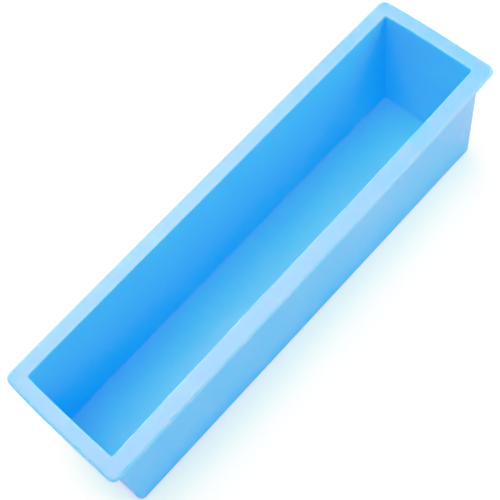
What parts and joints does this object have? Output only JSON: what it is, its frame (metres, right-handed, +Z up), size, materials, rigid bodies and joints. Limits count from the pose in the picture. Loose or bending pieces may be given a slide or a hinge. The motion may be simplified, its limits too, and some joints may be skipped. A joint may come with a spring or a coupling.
{
  "type": "silicone soap mould",
  "caption": "Deep rectangular silicone loaf mould with an open top, thin near-upright walls and a flat rim all round, for pouring soap.",
  "frame": {"origin": "middle of the underside, on the surface that the mould stands on", "axes": "+Z up out of the open mouth, +Y along the mould's length, +X across its width"},
  "size_m": [0.074, 0.28, 0.078],
  "materials": {
    "silicone": "matte, slightly translucent moulded silicone"
  },
  "bodies": {
    "root": {"mould_body": "silicone"}
  },
  "joints": []
}
